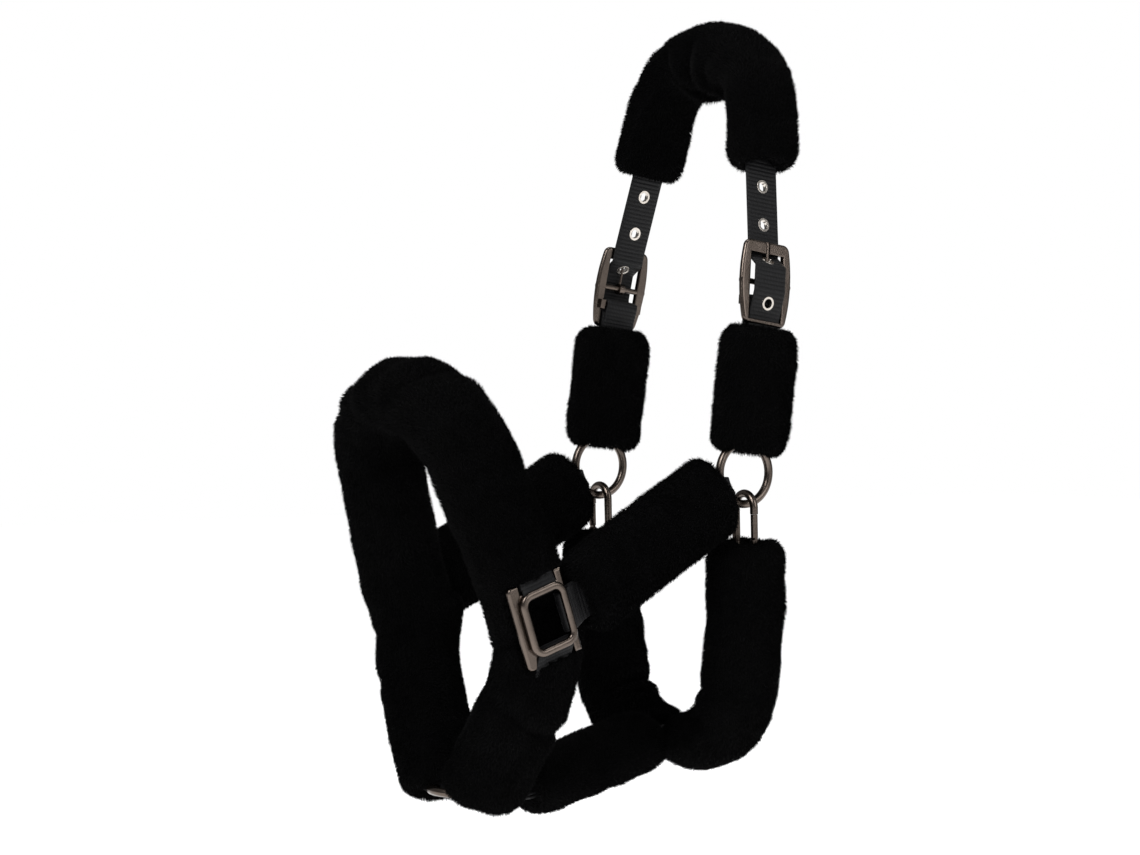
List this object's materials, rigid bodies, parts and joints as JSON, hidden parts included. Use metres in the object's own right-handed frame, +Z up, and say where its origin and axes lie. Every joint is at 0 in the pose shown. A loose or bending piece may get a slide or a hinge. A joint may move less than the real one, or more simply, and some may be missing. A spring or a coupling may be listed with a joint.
{
  "type": "headcollar",
  "caption": "Webbing headcollar with plush sleeves over its crown, cheeks, noseband, jaw strap and throatlatch, two tongue buckles, round rings, halter squares and snap links.",
  "frame": {"origin": "where the crown sleeve bears on the poll, at the inner top of its arch", "axes": "+Z up, nose towards -Y, the horse's near (left) side towards +X"},
  "size_m": [0.2096, 0.3002, 0.5232],
  "materials": {
    "webbing": "ribbed woven polyamide webbing",
    "plush": "short dense pile",
    "gunmetal": "satin warm gunmetal plating",
    "bright_nickel": "bright nickel"
  },
  "bodies": {
    "crown": {"crown_strap": "webbing", "crown_sleeve": "plush", "near_eyelets": "bright_nickel", "near_buckle_frame": "gunmetal", "near_buckle_pin": "bright_nickel", "near_upper_cheek_strap": "webbing", "near_upper_cheek_sleeve": "plush", "far_eyelets": "bright_nickel", "far_buckle_frame": "gunmetal", "far_buckle_pin": "bright_nickel", "far_upper_cheek_strap": "webbing", "far_upper_cheek_sleeve": "plush"},
    "lower": {"nose_strap": "webbing", "nose_sleeve": "plush", "throat_strap": "webbing", "jaw_strap": "webbing", "jaw_sleeve": "plush", "near_square": "gunmetal", "near_chin_strap": "webbing", "near_chin_sleeve": "plush", "near_cheekpiece_strap": "webbing", "near_cheekpiece_sleeve": "plush", "near_snap_body": "gunmetal", "near_gate_pin": "gunmetal", "near_throat_sleeve": "plush", "far_square": "gunmetal", "far_chin_strap": "webbing", "far_chin_sleeve": "plush", "far_cheekpiece_strap": "webbing", "far_cheekpiece_sleeve": "plush", "far_snap_body": "gunmetal", "far_gate_pin": "gunmetal", "far_throat_sleeve": "plush"},
    "chin_ring": {"chin_ring": "gunmetal"},
    "near_cheek_ring": {"near_cheek_ring": "gunmetal"},
    "near_buckle_tongue": {"near_buckle_tongue": "bright_nickel"},
    "near_snap_gate": {"near_snap_gate": "gunmetal"},
    "far_cheek_ring": {"far_cheek_ring": "gunmetal"},
    "far_buckle_tongue": {"far_buckle_tongue": "bright_nickel"},
    "far_snap_gate": {"far_snap_gate": "gunmetal"}
  },
  "joints": [
    {"name": "lower_swing", "type": "hinge", "parent": "crown", "child": "lower", "pos_m": [0, -0.03577, -0.2545], "axis": [1, 0, 0], "range_deg": [-8, 30]},
    {"name": "chin_ring_spin", "type": "hinge", "parent": "lower", "child": "chin_ring", "pos_m": [0, -0.2, -0.456], "axis": [0, -0.1119, -0.9937], "continuous": true},
    {"name": "near_cheek_ring_spin", "type": "hinge", "parent": "crown", "child": "near_cheek_ring", "pos_m": [0.08, -0.03577, -0.2545], "axis": [1, 0, 0], "continuous": true},
    {"name": "near_tongue_tilt", "type": "hinge", "parent": "crown", "child": "near_buckle_tongue", "pos_m": [0.0795, -0.01865, -0.1327], "axis": [0, 0.9903, -0.1392], "range_deg": [0, 2]},
    {"name": "near_gate_open", "type": "hinge", "parent": "lower", "child": "near_snap_gate", "pos_m": [0.0893, -0.03457, -0.30028], "axis": [0, -0.9997, -0.0262], "range_deg": [0, 25], "stiffness_Nm_per_rad": 0.02, "springref_deg": -20.05},
    {"name": "far_cheek_ring_spin", "type": "hinge", "parent": "crown", "child": "far_cheek_ring", "pos_m": [-0.08, -0.03577, -0.2545], "axis": [1, 0, 0], "continuous": true},
    {"name": "far_tongue_tilt", "type": "hinge", "parent": "crown", "child": "far_buckle_tongue", "pos_m": [-0.0795, -0.01865, -0.1327], "axis": [0, -0.9903, 0.1392], "range_deg": [0, 2]},
    {"name": "far_gate_open", "type": "hinge", "parent": "lower", "child": "far_snap_gate", "pos_m": [-0.0893, -0.03457, -0.30028], "axis": [0, 0.9997, 0.0262], "range_deg": [0, 25], "stiffness_Nm_per_rad": 0.02, "springref_deg": -20.05}
  ]
}
